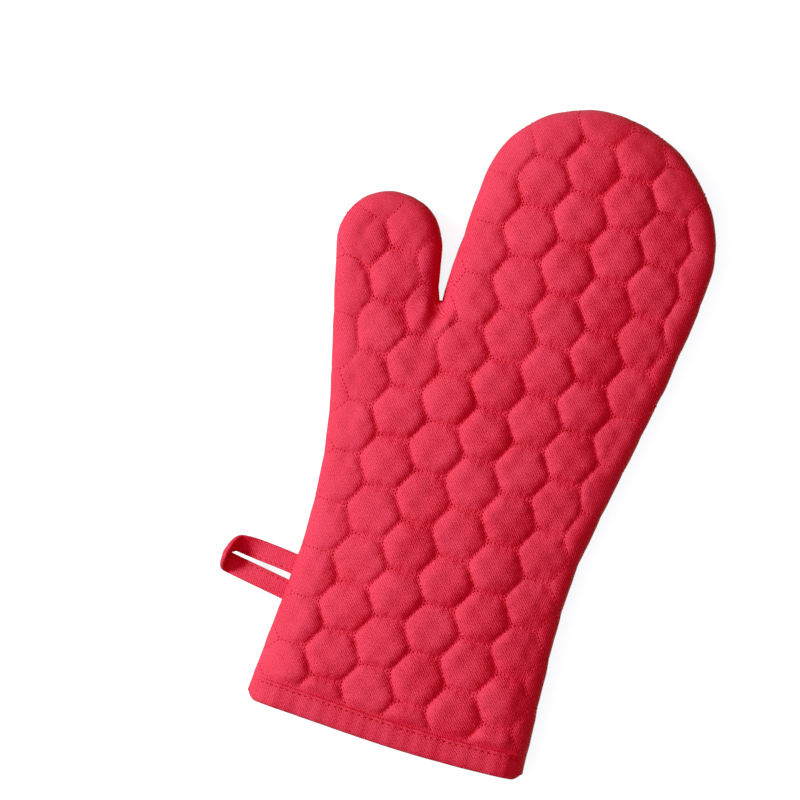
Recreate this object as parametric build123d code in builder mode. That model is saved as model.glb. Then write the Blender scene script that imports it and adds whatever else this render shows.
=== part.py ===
from build123d import *
import os
from math import acos, atan2, ceil, cos, degrees, hypot, radians, sin

# Quilted oven mitt, lying on its back panel with the palm up and the thumb on the left.
# Millimetres: x runs to the little-finger side, y to the fingertips, z up.
# The origin is under the middle of the palm, on the surface that the mitt lies on.

# Outline, seen from above
cuff_y = -152.0
cuff_half_width = 70.3
fingertip_left = (-22.5, 176.0)
fingertip_left_radius = 52.0
fingertip_right = (99.5, 176.0)
fingertip_right_radius = 64.0
thumb_tip_center = (-61.5, 85.0)
thumb_tip_radius = 26.0
crotch = (-30.2, 55.0)
crotch_radius = 1.0
left_waist = (-60.0, -35.0)
right_side = (89.8, 60.0)
right_waist = (66.3, -62.0)
waist_radius = 300.0

# Padded form: height of the side seam, rise of the palm above it, and rounding of the sides
seam_height = 13.5
palm_rise = 16.5
palm_rounding = 15.0
back_rounding = 12.0

# Swell of the palm: it is arched across its width, highest on a line from the cuff to the fingertips
swell_radius = 850.0
swell_cuff_x = -5.0
swell_tip_x = 15.0

# Layers of the quilted cloth, from the outside in
face_cloth = 0.9
pressed_batting = 1.4
lining_cloth = 0.8
layer_gap = 0.2

# Quilting: regular hexagons, each a puff between pressed lines of stitching
quilt_pitch = 25.0
quilt_turn = 0.9
palm_quilt_center = (6.7, 8.1)
back_quilt_center = (0.0, 0.0)
puff_height = 2.0
pressed_width = 2.2
thread_width = 0.6
thread_height = 0.4

# Binding round the mouth, with its topstitching and the bar tack where the seam runs into it
binding_width = 12.5
binding_cloth = 1.0
topstitch_inset = 1.75
topstitch_length = 2.6
topstitch_pitch = 3.6
tack_bars = 4
tack_pitch = 1.8
tack_height = 3.0

# Seam allowance turned inwards, with overlock thread round its raw edge
allowance_width = 6.0
allowance_cloth = 1.2
overlock_bite = 4.0
overlock_thread = 0.5

# Fold at the base of the thumb, from the crotch down to the left edge
fold_start = (-30.5, 61.0)
fold_end = (-70.5, 10.0)
fold_gap = 0.3

# Hanging loop of folded tape, sewn into the left seam
loop_y = -87.0
loop_reach = 36.0
loop_clearance = 0.6
loop_hole = 6.4
tape_width = 9.8
tape_thickness = 1.6
tape_lean = 50.0
edge_stitch_inset = 1.6

# Insets of the layers from the outer face of the mitt
batting_outer = face_cloth + layer_gap
batting_inner = batting_outer + puff_height + pressed_batting
lining_outer = batting_inner + layer_gap
lining_inner = lining_outer + lining_cloth

# Places that follow from the sizes above
palm, back = 1, -1
palm_top = seam_height + palm_rise
cuff_left = (-cuff_half_width, cuff_y)
cuff_right = (cuff_half_width, cuff_y)
hem_y = cuff_y + binding_width + layer_gap
raw_edge_y = cuff_y + binding_cloth + layer_gap
run_on = 2 * binding_width
mitt_length = fingertip_right[1] - cuff_y
mitt_width = fingertip_right[0] - thumb_tip_center[0] + thumb_tip_radius


def tangent_angle(center, radius, point, turn):
    """Angle at which a line from a point outside a circle touches it, on the side given by turn."""
    dx = point[0] - center[0]
    dy = point[1] - center[1]
    return degrees(atan2(dy, dx)) + turn * degrees(acos(radius / hypot(dx, dy)))


def tip_arc(center, radius, first, last):
    """Round tip whose sides run straight on to the points first and last, anticlockwise."""
    start = tangent_angle(center, radius, first, 1)
    end = tangent_angle(center, radius, last, -1)
    return CenterArc(center, radius, start, (end - start) % 360)


def outline(inset):
    """Outline of the mitt, drawn in by an inset and running on straight past the cuff."""
    with BuildSketch() as shape:
        with BuildLine():
            thumb = tip_arc(thumb_tip_center, thumb_tip_radius, crotch, left_waist)
            left_end = (-cuff_half_width, cuff_y - run_on)
            right_end = (cuff_half_width, cuff_y - run_on)
            Polyline(thumb @ 1, left_waist, cuff_left, left_end, right_end, cuff_right, right_waist,
                     right_side, fingertip_right, fingertip_left, crotch, thumb @ 0)
        make_face()
        for corner in (left_waist, right_waist, right_side, cuff_left, cuff_right):
            fillet(shape.vertices().sort_by_distance(corner)[0], waist_radius)
        for corner, radius in ((fingertip_right, fingertip_right_radius),
                               (fingertip_left, fingertip_left_radius), (crotch, crotch_radius)):
            fillet(shape.vertices().sort_by_distance(corner)[0], radius)
        if inset != 0:
            offset(amount=-inset)
    return shape.sketch


def depth_of(side):
    """Distance from the seam to the outer face of the palm or the back."""
    return palm_rise if side == palm else seam_height


def under_swell(inset, side):
    """Block under the outer face of a panel drawn in by an inset: arched on the palm, flat on the back."""
    along = Vector(swell_tip_x - swell_cuff_x, mitt_length)
    middle = Vector(swell_cuff_x, cuff_y) + along * 0.5
    roll = Plane(origin=(middle.X, middle.Y, palm_top - swell_radius), x_dir=(0, 0, 1), z_dir=along)
    with BuildPart() as block:
        if side == palm:
            with Locations(roll):
                Cylinder(swell_radius - inset, 2 * mitt_length)
        else:
            with Locations((0, 0, inset + swell_radius)):
                Box(4 * mitt_width, 4 * mitt_length, 2 * swell_radius)
    return block.part


def padded_half(inset, side):
    """Padded form of one panel between the seam plane and its outer face, drawn in by an inset."""
    rounding = palm_rounding if side == palm else back_rounding
    with BuildPart() as half:
        with BuildSketch(Plane.XY.offset(seam_height)):
            add(outline(inset))
        extrude(amount=side * (depth_of(side) - inset))
        outer_face = half.faces().sort_by(Axis.Z)[-1 if side == palm else 0]
        fillet(outer_face.edges().sort_by(Axis.Y)[1:], rounding - inset)
        add(under_swell(inset, side), mode=Mode.INTERSECT)
    return half.part


def padded_form(inset):
    """Padded form of both panels together."""
    with BuildPart() as form:
        add(padded_half(inset, palm))
        add(padded_half(inset, back))
    return form.part


def quilt_net(bar, side, margin):
    """Lines of the hexagon quilting as one face with holes, ending a margin inside the outline."""
    center = palm_quilt_center if side == palm else back_quilt_center
    columns = 2 * ceil(mitt_width / quilt_pitch / 2 / cos(radians(30))) + 1
    rows = 2 * ceil(mitt_length / quilt_pitch / 2) + 3
    with BuildSketch() as net:
        add(outline(margin))
        with Locations(Location(center, quilt_turn)):
            with HexLocations(quilt_pitch / 2, columns, rows):
                RegularPolygon((quilt_pitch - bar) / 2, 6, major_radius=False, mode=Mode.SUBTRACT)
    return net.sketch


def quilt_walls(bar, side, margin, inset):
    """Lines of the quilting as walls that stand on the form drawn in by an inset, and rise out of the mitt."""
    with BuildPart() as walls:
        with BuildSketch(Plane.XY.offset(seam_height)):
            add(quilt_net(bar, side, margin))
        extrude(amount=side * 2 * palm_top)
        add(under_swell(inset, side), mode=Mode.SUBTRACT)
    return walls.part


def quilted_half(inset, side):
    """Padded half with its pressed lines, and pressed flat all over where the binding goes."""
    hem = Plane.XZ.offset(-hem_y - inset)
    with BuildPart() as pressed_hem:
        add(padded_half(inset + puff_height, side))
        split(bisect_by=hem, keep=Keep.TOP)
    with BuildPart() as quilted:
        add(padded_half(inset, side))
        add(quilt_walls(pressed_width + 2 * inset, side, inset, inset + puff_height), mode=Mode.SUBTRACT)
        split(bisect_by=hem, keep=Keep.BOTTOM)
        add(pressed_hem.part)
    return quilted.part


def shell_between(outer, inner):
    """Layer of cloth between two forms, ending at the raw edge inside the binding."""
    with BuildPart() as layer:
        add(outer)
        add(inner, mode=Mode.SUBTRACT)
        split(bisect_by=Plane.XZ.offset(-raw_edge_y), keep=Keep.BOTTOM)
    return layer.part


def seam_strip(outer_inset, inner_inset, low, high):
    """Flat strip along the side seam above the hem, between two insets and two heights."""
    with BuildPart() as strip:
        with BuildSketch(Plane.XY.offset(low)):
            add(outline(outer_inset))
            add(outline(inner_inset), mode=Mode.SUBTRACT)
        extrude(amount=high - low)
        split(bisect_by=Plane.XZ.offset(-hem_y - layer_gap), keep=Keep.BOTTOM)
    return strip.part


def lining(side):
    """Lining of one panel with its half of the seam allowance, which lies flat inside the seam."""
    with BuildPart() as cloth:
        add(shell_between(padded_half(lining_outer, side), padded_half(lining_inner, side)))
        allowance_edge = lining_inner + allowance_width
        low = seam_height if side == palm else seam_height - allowance_cloth
        add(seam_strip(lining_outer, allowance_edge, low, low + allowance_cloth))
    return cloth.part


def quilting_thread(side):
    """Thread lying along the bottom of the pressed lines, as far as those run over the sides."""
    rounding = palm_rounding if side == palm else back_rounding
    fade = rounding - (rounding**2 - (rounding - puff_height) ** 2) ** 0.5
    low = puff_height - layer_gap
    with BuildPart() as thread:
        add(quilt_walls(thread_width, side, fade + thread_height, low))
        add(under_swell(low - thread_height, side), mode=Mode.INTERSECT)
        split(bisect_by=Plane.XZ.offset(-hem_y - layer_gap), keep=Keep.BOTTOM)
    return thread.part


def seam_overlock():
    """Overlock thread wrapped round the raw edge of the seam allowance."""
    allowance_edge = lining_inner + allowance_width
    bite_edge = allowance_edge - overlock_bite
    inside = allowance_cloth + layer_gap
    outside = inside + overlock_thread
    with BuildPart() as thread:
        add(seam_strip(bite_edge, allowance_edge + layer_gap + overlock_thread,
                       seam_height - outside, seam_height + outside))
        add(seam_strip(bite_edge, allowance_edge + layer_gap,
                       seam_height - inside, seam_height + inside), mode=Mode.SUBTRACT)
    return thread.part


def thumb_zone(gap):
    """Block that holds the thumb and nothing else, kept a gap clear of the fold at its base."""
    along = (Vector(*fold_end) - Vector(*fold_start)).normalized()
    lifted = Vector(along.Y, -along.X) * gap
    first = Vector(*fold_start) + lifted
    last = Vector(*fold_end) + along * tape_width + lifted
    far_left = last.X - mitt_width
    far_up = first.Y + mitt_length
    with BuildPart() as zone:
        with BuildSketch():
            with BuildLine():
                Polyline((first.X, first.Y), (first.X, far_up), (far_left, far_up),
                         (far_left, last.Y), (last.X, last.Y), close=True)
            make_face()
        extrude(amount=2 * palm_top, both=True)
    return zone.part


def keep_piece(piece, name):
    """Label a finished piece and write it out under its name."""
    piece.label = name
    export_step(piece, f"parts/{name}.step")


os.makedirs("parts", exist_ok=True)

# Panels: each layer is cut out whole, then divided at the fold into a hand piece and a thumb piece
layers = {"seam_overlock": seam_overlock()}
for side, panel in ((palm, "palm"), (back, "back")):
    batting_form = quilted_half(batting_outer, side)
    layers[f"{panel}_face"] = shell_between(quilted_half(0, side), quilted_half(face_cloth, side))
    layers[f"{panel}_batting"] = shell_between(batting_form, padded_half(batting_inner, side))
    layers[f"{panel}_lining"] = lining(side)
    layers[f"{panel}_quilting"] = quilting_thread(side)

for name, layer in layers.items():
    with BuildPart() as hand_piece:
        add(layer)
        add(thumb_zone(0), mode=Mode.SUBTRACT)
    keep_piece(hand_piece.part, name)
    with BuildPart() as thumb_piece:
        add(layer)
        add(thumb_zone(fold_gap), mode=Mode.INTERSECT)
    keep_piece(thumb_piece.part, f"thumb_{name}")

# Cuff binding: a strip of cloth folded over the raw edge of the mouth, inside and out
binding_outer = puff_height - layer_gap - binding_cloth
binding_inner = lining_inner + layer_gap + binding_cloth
with BuildPart() as fold_of_cloth:
    add(padded_form(binding_outer + binding_cloth))
    add(padded_form(binding_inner - binding_cloth), mode=Mode.SUBTRACT)
    split(bisect_by=Plane.XZ.offset(-cuff_y - binding_cloth), keep=Keep.BOTTOM)
with BuildPart() as cuff_binding:
    add(padded_form(binding_outer))
    add(padded_form(binding_inner), mode=Mode.SUBTRACT)
    add(fold_of_cloth.part, mode=Mode.SUBTRACT)
    split(bisect_by=Plane.XZ.offset(-cuff_y), keep=Keep.BOTTOM)
    split(bisect_by=Plane.XZ.offset(-cuff_y - binding_width), keep=Keep.TOP)
keep_piece(cuff_binding.part, "cuff_binding")

# Topstitching: a row of stitches round the binding, just below its folded edge
stitch_y = cuff_y + binding_width - topstitch_inset
stitch_count = int(2 * cuff_half_width / topstitch_pitch)
with BuildPart() as binding_topstitch:
    add(padded_form(binding_outer - layer_gap - thread_height))
    add(padded_form(binding_outer - layer_gap), mode=Mode.SUBTRACT)
    split(bisect_by=Plane.XZ.offset(-stitch_y + thread_width / 2), keep=Keep.BOTTOM)
    split(bisect_by=Plane.XZ.offset(-stitch_y - thread_width / 2), keep=Keep.TOP)
    with Locations((0, stitch_y, seam_height)):
        with GridLocations(topstitch_pitch, 1, stitch_count, 1):
            Box(topstitch_pitch - topstitch_length, binding_width, mitt_length, mode=Mode.SUBTRACT)
keep_piece(binding_topstitch.part, "binding_topstitch")

# Bar tack: a few bars of thread across the left seam, just above the binding
thread_strip = seam_strip(-layer_gap - thread_height, -layer_gap, seam_height - tack_height / 2,
                          seam_height + tack_height / 2)
with BuildPart() as seam_tack:
    with Locations((-cuff_half_width, hem_y + (tack_bars + 1) * tack_pitch / 2, seam_height)):
        with GridLocations(tack_pitch, tack_pitch, 1, tack_bars):
            Box(cuff_half_width, thread_width, tack_height)
    add(thread_strip, mode=Mode.INTERSECT)
keep_piece(seam_tack.part, "seam_tack")

# Hanging loop: tape that leaves the seam flat, leans inwards and turns back at its far end
edge = (Vector(*left_waist) - Vector(*cuff_left)).normalized()
share = (loop_y - cuff_y) / (left_waist[1] - cuff_y)
edge_x = cuff_left[0] + share * (left_waist[0] - cuff_left[0])
loop_plane = Plane(origin=(edge_x, loop_y, seam_height), x_dir=(-edge.Y, edge.X, 0), z_dir=(0, 0, 1))
root_reach = loop_clearance + tape_thickness / 2
turn_reach = loop_reach - loop_hole / 2 - tape_width * cos(radians(tape_lean))


def tape_section(reach, lean, arm):
    """Plane across one arm of the loop: x from the edge beside the hole, y out of the tape's face."""
    across = (0, arm * cos(radians(lean)), -sin(radians(lean)))
    along = (arm, 0, 0)
    local = Plane(origin=(reach, arm * loop_hole / 2, tape_width / 2 * sin(radians(lean))),
                  x_dir=across, z_dir=along)
    return loop_plane * local.location


def tape_run(near, far, low, high):
    """Strip that follows the loop, between two distances from the hole and two heights."""
    turn_axis = Axis(loop_plane.from_local_coords(Vector(turn_reach, 0, 0)), (0, 0, -1))
    with BuildPart() as run:
        for arm in (1, -1):
            for reach, lean in ((root_reach, 0), (turn_reach, tape_lean)):
                with BuildSketch(Plane(tape_section(reach, lean, arm))):
                    with Locations(((near + far) / 2, (low + high) / 2)):
                        Rectangle(far - near, high - low)
            loft(ruled=True)
        with BuildSketch(Plane(tape_section(turn_reach, tape_lean, 1))):
            with Locations(((near + far) / 2, (low + high) / 2)):
                Rectangle(far - near, high - low)
        revolve(axis=turn_axis, revolution_arc=180)
    return run.part


half_tape = tape_thickness / 2
keep_piece(tape_run(0, tape_width, -half_tape, half_tape), "hanging_loop")

stitch_low = half_tape + layer_gap
stitch_far = edge_stitch_inset + thread_width
stitch = tape_run(edge_stitch_inset, stitch_far, stitch_low, stitch_low + thread_height)
keep_piece(stitch, "loop_edge_stitch")

axis_point = (Vector(*fold_start) + Vector(*fold_end)) * 0.5
print("thumb fold through", axis_point, "at height", palm_top)
print("loop hinge at", loop_plane.from_local_coords(Vector(root_reach, 0, 0)))
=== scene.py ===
# %% [markdown]
# A quilted oven mitt lies on its back with the palm up. The solids give its size and its moving
# pieces: the hand, the thumb that folds, and the hanging loop that swings. This lesson dresses them
# in cloth. We load the solids first, so that everything after this is drawn in their frame.

# %% Load the solids
import math
from collections import namedtuple

import bpy
import numpy as np
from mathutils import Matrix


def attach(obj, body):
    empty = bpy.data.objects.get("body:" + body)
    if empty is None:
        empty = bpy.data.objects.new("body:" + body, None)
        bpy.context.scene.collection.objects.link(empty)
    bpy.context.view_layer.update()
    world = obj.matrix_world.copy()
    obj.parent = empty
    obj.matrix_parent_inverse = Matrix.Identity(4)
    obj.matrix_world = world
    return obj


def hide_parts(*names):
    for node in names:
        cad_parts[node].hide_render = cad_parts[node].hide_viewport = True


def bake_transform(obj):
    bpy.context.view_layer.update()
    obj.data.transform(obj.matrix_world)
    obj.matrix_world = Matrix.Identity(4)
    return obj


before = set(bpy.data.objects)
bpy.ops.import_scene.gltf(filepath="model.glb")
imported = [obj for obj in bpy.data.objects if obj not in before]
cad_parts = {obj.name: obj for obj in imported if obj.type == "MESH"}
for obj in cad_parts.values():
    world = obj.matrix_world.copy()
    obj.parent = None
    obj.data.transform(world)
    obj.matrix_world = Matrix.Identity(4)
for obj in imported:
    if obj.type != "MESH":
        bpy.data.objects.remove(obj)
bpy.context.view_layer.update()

# %% [markdown]
# A mesh in Blender is three lists: points, the corners of the faces, and where each face starts.
# Writing them with foreach_set is quick even for a hundred thousand points. We work in millimetres,
# because that is how a mitt is cut, and divide by a thousand only here.

# %% Put arrays into a mesh
MM = 0.001


def new_piece(name, points, face_groups):
    """Mesh object from points in millimetres and arrays of faces, one array for each corner count."""
    groups = [np.asarray(group) for group in face_groups]
    corners = np.concatenate([group.ravel() for group in groups])
    counts = np.concatenate([np.full(len(group), group.shape[1]) for group in groups])
    mesh = bpy.data.meshes.new(name)
    mesh.vertices.add(len(points))
    mesh.vertices.foreach_set("co", (np.asarray(points) * MM).astype(np.float32).ravel())
    mesh.loops.add(len(corners))
    mesh.loops.foreach_set("vertex_index", corners.astype(np.int32))
    mesh.polygons.add(len(counts))
    mesh.polygons.foreach_set("loop_start", (np.cumsum(counts) - counts).astype(np.int32))
    mesh.update(calc_edges=True)
    mesh.polygons.foreach_set("use_smooth", np.ones(len(counts), bool))
    piece = bpy.data.objects.new(name, mesh)
    bpy.context.scene.collection.objects.link(piece)
    print(name, len(points), "points", len(counts), "faces")
    return piece


def set_cloth_map(piece, cloth_points):
    """UV map that holds each point's place on the flat cloth, in metres, for the weave to follow."""
    layer = piece.data.uv_layers.new(name="cloth")
    corners = np.empty(len(piece.data.loops), np.int32)
    piece.data.loops.foreach_get("vertex_index", corners)
    layer.uv.foreach_set("vector", (cloth_points[corners] * MM).astype(np.float32).ravel())


# %% [markdown]
# The mitt's outline is made of straight runs and round arcs that touch each other smoothly: two round
# tips, a tight arc in the crotch, and wide arcs at the waist. Keeping them as formulas, not as sampled
# points, lets us ask for the nearest edge point of any place exactly.

# %% The outline
Line = namedtuple("Line", "start end")
Arc = namedtuple("Arc", "center radius first sweep")
CUFF_Y, CUFF_HALF_WIDTH, RUN_ON = -152.0, 70.3, 25.0
FINGERTIP_LEFT, FINGERTIP_LEFT_RADIUS = np.array((-22.5, 176.0)), 52.0
FINGERTIP_RIGHT, FINGERTIP_RIGHT_RADIUS = np.array((99.5, 176.0)), 64.0
THUMB_TIP, THUMB_TIP_RADIUS = np.array((-61.5, 85.0)), 26.0
CROTCH, CROTCH_RADIUS = np.array((-30.2, 55.0)), 1.0
LEFT_WAIST, RIGHT_WAIST, WAIST_RADIUS = np.array((-60.0, -35.0)), np.array((66.3, -62.0)), 300.0
RIGHT_SIDE = np.array((89.8, 60.0))
CUFF_LEFT, CUFF_RIGHT = np.array((-CUFF_HALF_WIDTH, CUFF_Y)), np.array((CUFF_HALF_WIDTH, CUFF_Y))
SMALLEST = 1e-9


def unit(vector):
    """Vector or array of vectors, each divided by its own length."""
    return vector / np.linalg.norm(vector, axis=-1, keepdims=True)


def ray(angle):
    """Direction at an angle, or at each angle of an array: (cos, sin)."""
    return np.stack((np.cos(angle), np.sin(angle)), axis=-1)


def heading(vector):
    """Angle of a direction, anticlockwise from the x axis."""
    return math.atan2(vector[1], vector[0])


def right_of(vector):
    """Direction a quarter turn to the right of another: (y, -x)."""
    return vector[..., ::-1] * (1, -1)


def round_tip(center, radius, first, last):
    """Arc whose end tangents run through the points first and last: acos(radius / distance) decides."""
    angles = []
    for point, turn in ((first, 1), (last, -1)):
        away = point - center
        angles.append(heading(away) + turn * math.acos(radius / np.linalg.norm(away)))
    return Arc(center, radius, angles[0], (angles[1] - angles[0]) % (2 * math.pi))


def rounded_corner(before, corner, after, radius):
    """Arc touching both sides of a corner, radius / tan(half the angle between them) away from it."""
    to_before, to_after = unit(before - corner), unit(after - corner)
    half = math.acos(float(to_before @ to_after)) / 2
    center = corner + unit(to_before + to_after) * radius / math.sin(half)
    ends = (corner + way * radius / math.tan(half) - center for way in (to_before, to_after))
    first, last = map(heading, ends)
    return Arc(center, radius, first, math.remainder(last - first, 2 * math.pi))


def arc_end(arc, share):
    """Point on an arc, at a share of its sweep."""
    return arc.center + arc.radius * ray(arc.first + share * arc.sweep)


thumb_arc = round_tip(THUMB_TIP, THUMB_TIP_RADIUS, CROTCH, LEFT_WAIST)
right_end, left_end = CUFF_RIGHT - (0, RUN_ON), CUFF_LEFT - (0, RUN_ON)
arcs = [
    rounded_corner(right_end, CUFF_RIGHT, RIGHT_WAIST, WAIST_RADIUS),
    rounded_corner(CUFF_RIGHT, RIGHT_WAIST, RIGHT_SIDE, WAIST_RADIUS),
    rounded_corner(RIGHT_WAIST, RIGHT_SIDE, FINGERTIP_RIGHT, WAIST_RADIUS),
    rounded_corner(RIGHT_SIDE, FINGERTIP_RIGHT, FINGERTIP_LEFT, FINGERTIP_RIGHT_RADIUS),
    rounded_corner(FINGERTIP_RIGHT, FINGERTIP_LEFT, CROTCH, FINGERTIP_LEFT_RADIUS),
    rounded_corner(FINGERTIP_LEFT, CROTCH, arc_end(thumb_arc, 0), CROTCH_RADIUS),
    thumb_arc,
    rounded_corner(arc_end(thumb_arc, 1), LEFT_WAIST, CUFF_LEFT, WAIST_RADIUS),
    rounded_corner(LEFT_WAIST, CUFF_LEFT, left_end, WAIST_RADIUS),
]
outline = []
last_point = right_end
for arc in arcs:
    outline += [Line(last_point, arc_end(arc, 0)), arc]
    last_point = arc_end(arc, 1)
outline.append(Line(last_point, left_end))
print("outline:", len(outline), "runs and arcs, anticlockwise")


def nearest_edge(places):
    """Nearest outline point of each place, its outward direction, and how far inside the place is."""
    best = np.full(len(places), np.inf)
    edge, outward = np.zeros_like(places), np.zeros_like(places)
    for run in outline:
        if isinstance(run, Line):
            side = run.end - run.start
            share = np.clip((places - run.start) @ side / (side @ side), 0, 1)
            point = run.start + share[:, None] * side
            facing = np.broadcast_to(right_of(unit(side)), places.shape)
        else:
            way, half = np.sign(run.sweep), abs(run.sweep) / 2
            away = places - run.center
            turn = way * (np.arctan2(away[:, 1], away[:, 0]) - run.first)
            turn = np.mod(turn - half + math.pi, 2 * math.pi) - math.pi + half
            direction = ray(run.first + way * np.clip(turn, 0, 2 * half))
            point, facing = run.center + run.radius * direction, way * direction
        distance = np.linalg.norm(places - point, axis=1)
        nearer = distance < best - SMALLEST
        best[nearer], edge[nearer], outward[nearer] = distance[nearer], point[nearer], facing[nearer]
    inside = np.sign(np.einsum("ij,ij->i", edge - places, outward)) * best
    return edge, outward, inside


# %% [markdown]
# Seen from the side, a panel is flat on top, bends over in a quarter round and drops to the side seam.
# A tailor thinks of the cloth before it is bent, so each point has a place on the flat cloth, and
# `run` is how far that place lies past the start of the bend. The palm also swells: it is arched like
# a very large roll, whose highest line runs from the cuff to the fingertips.

# %% The padded form
SEAM_HEIGHT, PALM_TOP = 13.5, 30.0
PALM, BACK = 1, -1
ROUNDING = {PALM: 15.0, BACK: 12.0}
FLAT_HEIGHT = {PALM: PALM_TOP, BACK: 0.0}
SEAM_RUN = {side: abs(FLAT_HEIGHT[side] - SEAM_HEIGHT) - ROUNDING[side] for side in (PALM, BACK)}
SWELL_RADIUS = 850.0
SWELL_CUFF, SWELL_TIP = np.array((-5.0, CUFF_Y)), np.array((15.0, FINGERTIP_RIGHT[1]))
SWELL_ACROSS = right_of(unit(SWELL_TIP - SWELL_CUFF))


def swell_drop(places):
    """Drop of the arched palm below its highest line: radius - sqrt(radius^2 - distance^2)."""
    distance = (places - SWELL_CUFF) @ SWELL_ACROSS
    return SWELL_RADIUS - np.sqrt(SWELL_RADIUS**2 - distance**2)


def wrapped(edge, outward, run, side):
    """Point and normal of the form: flat for run < 0, then a quarter round, then straight to the seam."""
    radius = ROUNDING[side]
    angle = np.clip(run / radius, 0, math.pi / 2)
    inset = radius * (1 - np.sin(angle)) + np.maximum(-run, 0)
    drop = radius * (1 - np.cos(angle)) + np.maximum(run - radius * math.pi / 2, 0)
    plan = edge - outward * inset[:, None]
    points = np.column_stack((plan, FLAT_HEIGHT[side] - side * drop))
    normals = np.column_stack((outward * np.sin(angle)[:, None], side * np.cos(angle)))
    return points, normals


# %% [markdown]
# The quilting is a net of regular hexagons, 25 mm across, sewn through cloth and batting. For any place
# seen from above we need the distance to the nearest sewn line: the cloth is held down there and
# puffs up in between. Two interleaved oblong grids hold all the hexagon centres, so rounding finds the
# nearest one without a search. Sewn lines are never quite true: on the palm they lie up to 3 mm aside
# along the hand, and more on the thumb, so `drift` moves the net before the nearest line is asked for.
# A puff has rounder corners than its hexagon, so `quilt` also gives a distance with blunted corners.

# %% The hexagon quilting
QUILT_PITCH, QUILT_TURN = 25.0, math.radians(0.9)
QUILT_CENTER = {PALM: np.array((6.7, 8.1)), BACK: np.array((0.0, 0.0))}
COLUMN = QUILT_PITCH * math.cos(math.radians(30))
CORNER_POWER = 8
LINE_FACING = ray(QUILT_TURN + np.radians((90.0, 30.0, 150.0)))
LINE_ALONG = -right_of(LINE_FACING)
TURN = np.column_stack((ray(QUILT_TURN), -right_of(ray(QUILT_TURN))))
# a reach in millimetres, and the two y between which it grows: right low, right high, up low, up high
DRIFT_STEPS = ((2.4, -140, -40), (-3.6, 45, 105), (-1.6, -110, -40), (1.8, 60, 130))
DRIFT_START, THUMB_DRIFT, RIM_DRIFT = 0.5, np.array((4.6, 2.3)), np.array((-1.0, 4.0))
# limits of y, then of x, between which the thumb and its left rim begin
THUMB_ZONE, RIM_ZONE = ((18, 95), (-34, -24)), ((5, 50), (-88, -64))
# rates of the usual sine hash
HASH_WAY, HASH_RATE, HASH_SEED, HASH_SIZE = np.array((12.9898, 78.233)), 0.137, 4.1414, 43758.5453


def smooth_step(low, high, value):
    """0 below low, 1 above high, and an even S-curve between them."""
    share = np.clip((value - low) / (high - low), 0, 1)
    return share * share * (3 - 2 * share)


def drift(places, side):
    """How far the palm's sewn lines lie aside: a slow S-curve along the hand, and more on the thumb."""
    if side == BACK:
        return np.zeros_like(places)
    x, y = places.T
    thumb, rim = (smooth_step(*above, y) * (1 - smooth_step(*left, x))
                  for above, left in (THUMB_ZONE, RIM_ZONE))
    steps = [reach * smooth_step(low, high, y) for reach, low, high in DRIFT_STEPS]
    hand = np.column_stack((steps[0] + steps[1] * (1 - thumb), DRIFT_START + steps[2] + steps[3]))
    return hand + THUMB_DRIFT * thumb[:, None] + RIM_DRIFT * rim[:, None]


def quilt(places, side):
    """Nearest sewn line: its distance, a blunter one, its number, the cell, and the way from its centre."""
    places = places - drift(places, side)
    best = np.full(len(places), np.inf)
    facing, cell = np.zeros(len(places), int), np.zeros_like(places)
    for shift in ((0.0, 0.0), (COLUMN, QUILT_PITCH / 2)):
        step = np.array((2 * COLUMN, QUILT_PITCH))
        local = (places - QUILT_CENTER[side]) @ TURN - shift
        center = (np.round(local / step) * step + shift) @ TURN.T + QUILT_CENTER[side]
        reach = np.abs((places - center) @ LINE_FACING.T)
        farthest = reach.max(axis=1)
        nearer = farthest < best
        best[nearer], cell[nearer] = farthest[nearer], center[nearer]
        facing[nearer] = np.argmax(reach, axis=1)[nearer]
    away = places - cell
    rounder = (np.abs(away @ LINE_FACING.T) ** CORNER_POWER).sum(axis=1) ** (1 / CORNER_POWER)
    return QUILT_PITCH / 2 - best, QUILT_PITCH / 2 - rounder, facing, cell, away


def scatter(values, seed):
    """Number between 0 and 1 that looks random but is the same every time for the same place."""
    mixed = np.sin(values @ HASH_WAY * HASH_RATE + seed * HASH_SEED) * HASH_SIZE
    return mixed - np.floor(mixed)


# %% [markdown]
# Inside its hexagon each puff is a blunt dome, and no two are equally full. The cloth puckers at each
# stitch and wrinkles a little farther off, so both fade with the distance from the sewn line.

# %% The puffs
Stitch = namedtuple("Stitch", "pitch length thickness")
QUILT_STITCH = Stitch(2.06, 1.55, 0.75)
PUFF, DOME_POWER = 2.2, 4.4
LEAST_FULL, FULL_SPREAD, LEAN_WAY, LEAN_WEIGHT = 0.88, 0.24, (0.6, -0.4), 0.5
PUCKER, PUCKER_GAP, PUCKER_WIDTH = 0.14, 0.8, 0.8
WRINKLE, WRINKLE_GAP, WRINKLE_WIDTH, WRINKLE_PITCH, WRINKLE_PHASE = 0.10, 2.2, 1.8, 4.6, 6.3


def bell(value, middle, width):
    """Bell curve: exp(-((value - middle) / width)^2)."""
    return np.exp(-(((value - middle) / width) ** 2))


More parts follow.
